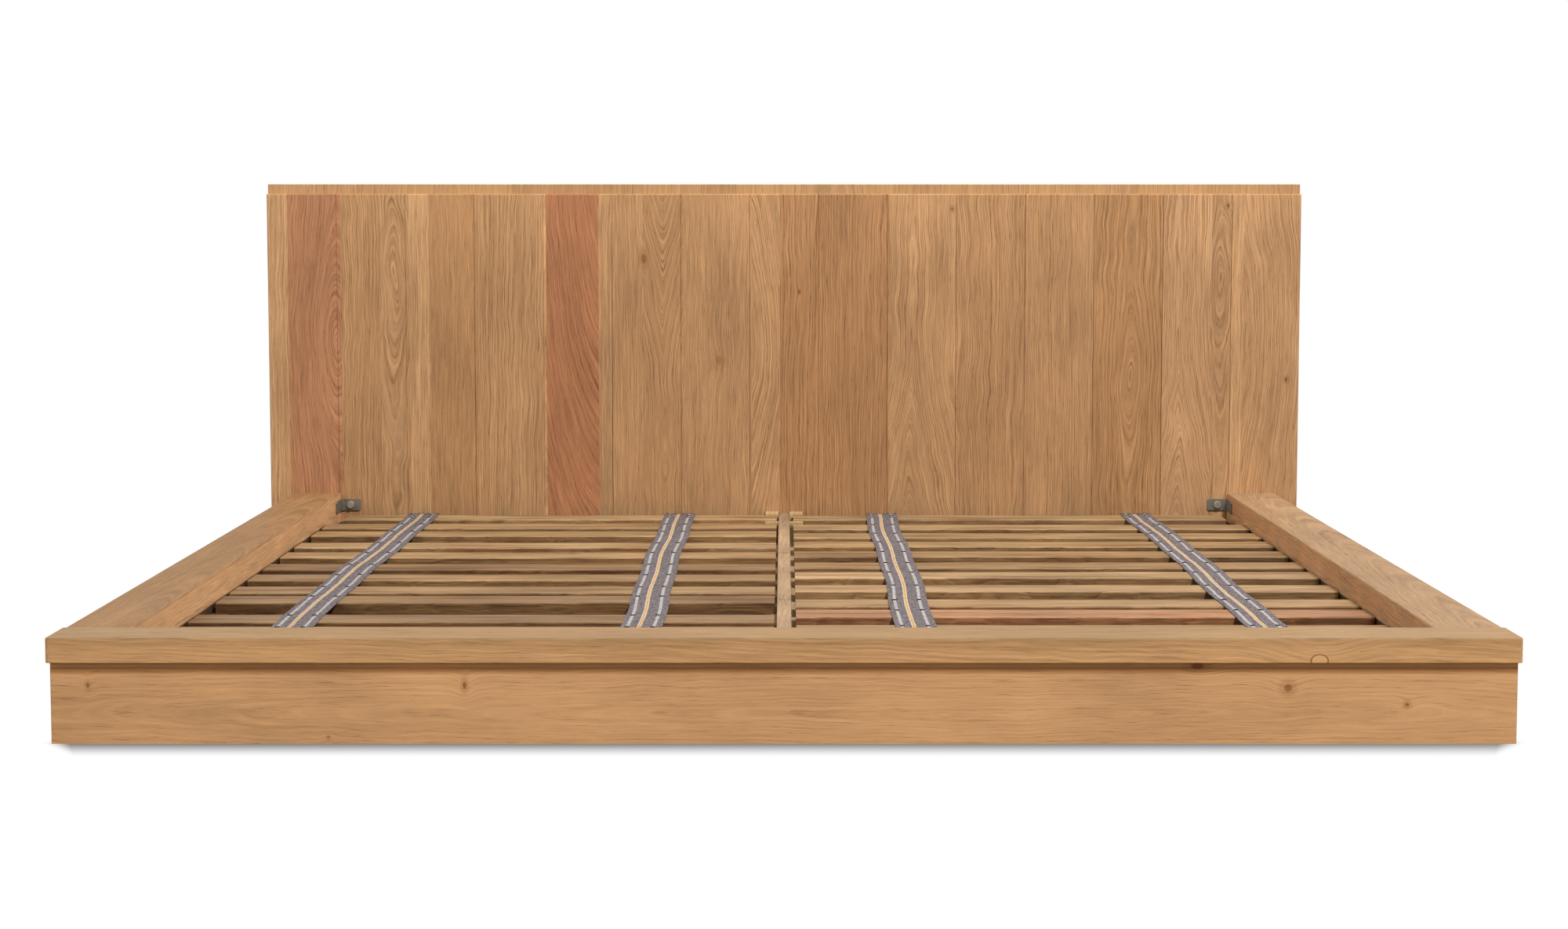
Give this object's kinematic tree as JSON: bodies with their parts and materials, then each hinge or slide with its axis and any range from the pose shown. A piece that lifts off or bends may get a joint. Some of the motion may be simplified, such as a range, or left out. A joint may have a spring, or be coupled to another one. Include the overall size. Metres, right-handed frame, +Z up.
{
  "type": "platform bed frame",
  "caption": "Low wooden platform bed frame with a planked headboard, wide flat cap rails round a mattress well, and roll-out slat sets on webbing over a centre beam.",
  "frame": {"origin": "on the floor under the middle of the bed's outer box", "axes": "+X across the bed to the right seen from the foot, +Y from foot to head, +Z up"},
  "size_m": [2.28, 2.205, 0.844],
  "materials": {
    "oak": "oiled natural oak",
    "pale_wood": "bare planed softwood",
    "slat_wood": "bare sawn hardwood",
    "webbing": "woven webbing with stripes",
    "bracket_steel": "dull zinc plate",
    "bolt_steel": "bright zinc plate"
  },
  "bodies": {
    "frame": {"headboard_plank_01": "oak", "headboard_plank_02": "oak", "headboard_plank_03": "oak", "headboard_plank_04": "oak", "headboard_plank_05": "oak", "headboard_plank_06": "oak", "headboard_plank_07": "oak", "headboard_plank_08": "oak", "headboard_plank_09": "oak", "headboard_plank_10": "oak", "headboard_plank_11": "oak", "headboard_plank_12": "oak", "headboard_plank_13": "oak", "headboard_plank_14": "oak", "headboard_plank_15": "oak", "headboard_back_panel": "oak", "footboard_cap": "oak", "footboard_panel": "oak", "footboard_inner_board": "oak", "left_rail_cap": "oak", "left_rail_skirt": "oak", "left_rail_inner_board": "oak", "right_rail_cap": "oak", "right_rail_skirt": "oak", "right_rail_inner_board": "oak", "rail_ledgers": "pale_wood", "centre_beam": "pale_wood", "centre_ledgers": "pale_wood", "beam_receivers": "pale_wood", "centre_legs": "pale_wood", "corner_brackets": "bracket_steel", "bracket_bolts": "bolt_steel"},
    "left_slat_set": {"left_slat_01": "slat_wood", "left_slat_02": "slat_wood", "left_slat_03": "slat_wood", "left_slat_04": "slat_wood", "left_slat_05": "slat_wood", "left_slat_06": "slat_wood", "left_slat_07": "slat_wood", "left_slat_08": "slat_wood", "left_slat_09": "slat_wood", "left_slat_10": "slat_wood", "left_slat_11": "slat_wood", "left_slat_12": "slat_wood", "left_outer_strap": "webbing", "left_inner_strap": "webbing"},
    "right_slat_set": {"right_slat_01": "slat_wood", "right_slat_02": "slat_wood", "right_slat_03": "slat_wood", "right_slat_04": "slat_wood", "right_slat_05": "slat_wood", "right_slat_06": "slat_wood", "right_slat_07": "slat_wood", "right_slat_08": "slat_wood", "right_slat_09": "slat_wood", "right_slat_10": "slat_wood", "right_slat_11": "slat_wood", "right_slat_12": "slat_wood", "right_inner_strap": "webbing", "right_outer_strap": "webbing"}
  },
  "joints": [
    {"name": "left_slat_lift", "type": "slide", "parent": "frame", "child": "left_slat_set", "axis": [0, 0, 1], "range_m": [0, 0.1]},
    {"name": "right_slat_lift", "type": "slide", "parent": "frame", "child": "right_slat_set", "axis": [0, 0, 1], "range_m": [0, 0.1]}
  ]
}
